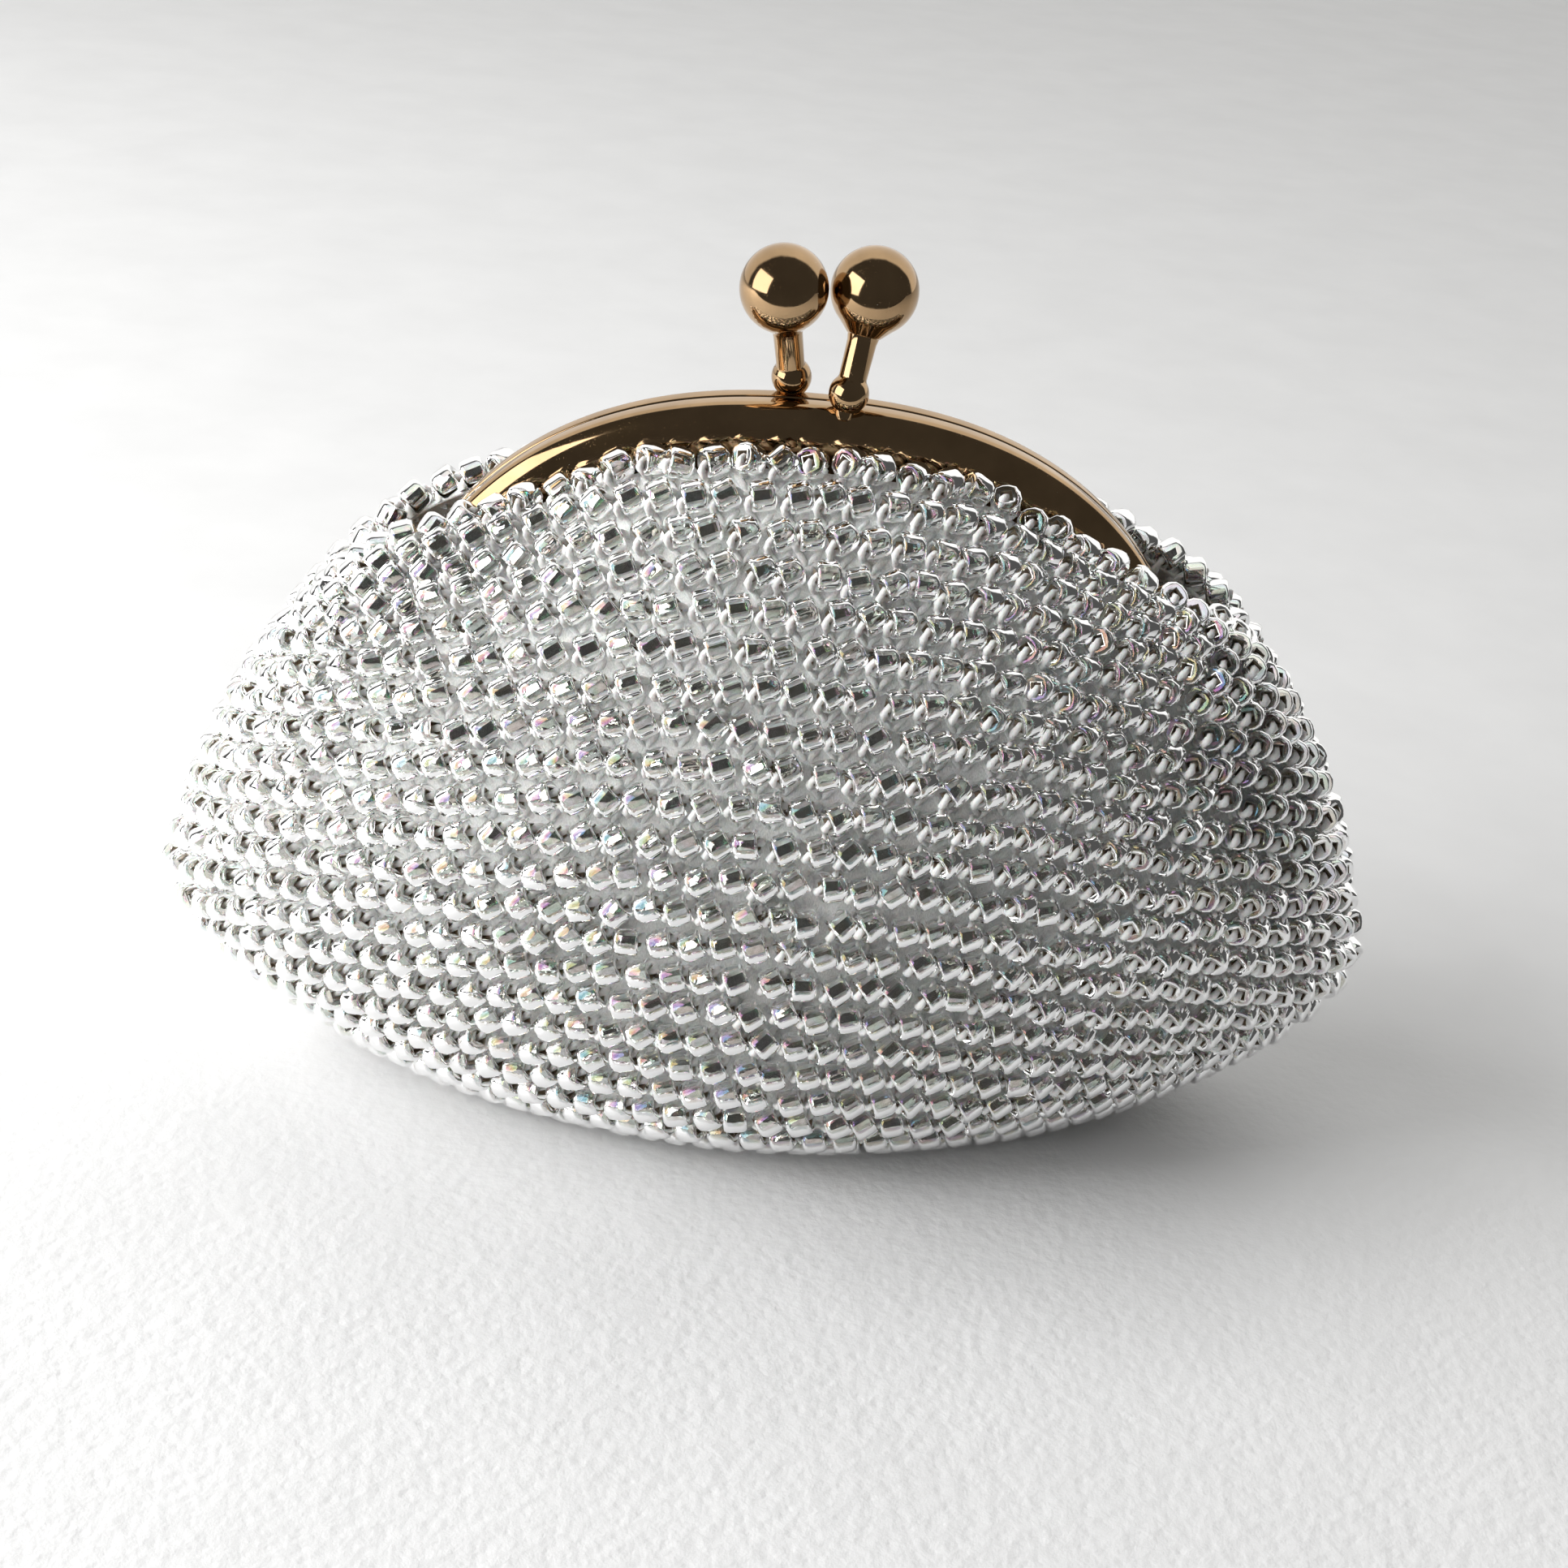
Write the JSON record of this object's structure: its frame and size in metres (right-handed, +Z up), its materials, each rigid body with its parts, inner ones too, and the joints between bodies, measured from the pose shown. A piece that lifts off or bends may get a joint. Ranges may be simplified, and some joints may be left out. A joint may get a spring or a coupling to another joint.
{
  "type": "kiss-lock evening purse",
  "caption": "Small evening purse: a rounded bag crocheted with glass beads, on a hinged arched metal frame that closes with a pair of crossed ball knobs.",
  "frame": {"origin": "on the floor under the middle of the purse", "axes": "+X along the purse, -Y the front face, +Z up"},
  "size_m": [0.1288, 0.053, 0.093],
  "materials": {
    "rose_gold_metal": "polished pale rose gold plating",
    "glass_beads": "clear glass with a silver-lined square hole and a faint rainbow coat",
    "crochet_cotton": "white twisted cotton, single crochet",
    "lining_satin": "off-white satin",
    "paper_cord": "twisted kraft paper"
  },
  "bodies": {
    "pouch": {"crochet_bowl": "crochet_cotton", "lining_bowl": "lining_satin", "base_beads": "glass_beads", "bowl_beads_1": "glass_beads", "bowl_beads_2": "glass_beads", "bowl_beads_3": "glass_beads", "bowl_beads_4": "glass_beads"},
    "front_half": {"front_frame": "rose_gold_metal", "front_knob_stem": "rose_gold_metal", "front_knob_ball": "rose_gold_metal", "front_paper_cord": "paper_cord", "front_crochet_panel": "crochet_cotton", "front_lining_panel": "lining_satin", "front_beads_1": "glass_beads", "front_beads_2": "glass_beads", "front_beads_3": "glass_beads", "left_hinge_rivet": "rose_gold_metal", "right_hinge_rivet": "rose_gold_metal"},
    "back_half": {"back_frame": "rose_gold_metal", "back_knob_stem": "rose_gold_metal", "back_knob_ball": "rose_gold_metal", "back_paper_cord": "paper_cord", "back_crochet_panel": "crochet_cotton", "back_lining_panel": "lining_satin", "back_beads_1": "glass_beads", "back_beads_2": "glass_beads", "back_beads_3": "glass_beads"}
  },
  "joints": [
    {"name": "front_opening", "type": "hinge", "parent": "pouch", "child": "front_half", "pos_m": [0, 0, 0.0495], "axis": [1, 0, 0], "range_deg": [0, 45], "deforming": ["front_crochet_panel", "front_lining_panel", "front_beads_1", "front_beads_2", "front_beads_3"]},
    {"name": "back_opening", "type": "hinge", "parent": "pouch", "child": "back_half", "pos_m": [0, 0, 0.0495], "axis": [-1, 0, 0], "range_deg": [0, 45], "deforming": ["back_crochet_panel", "back_lining_panel", "back_beads_1", "back_beads_2", "back_beads_3"]}
  ]
}
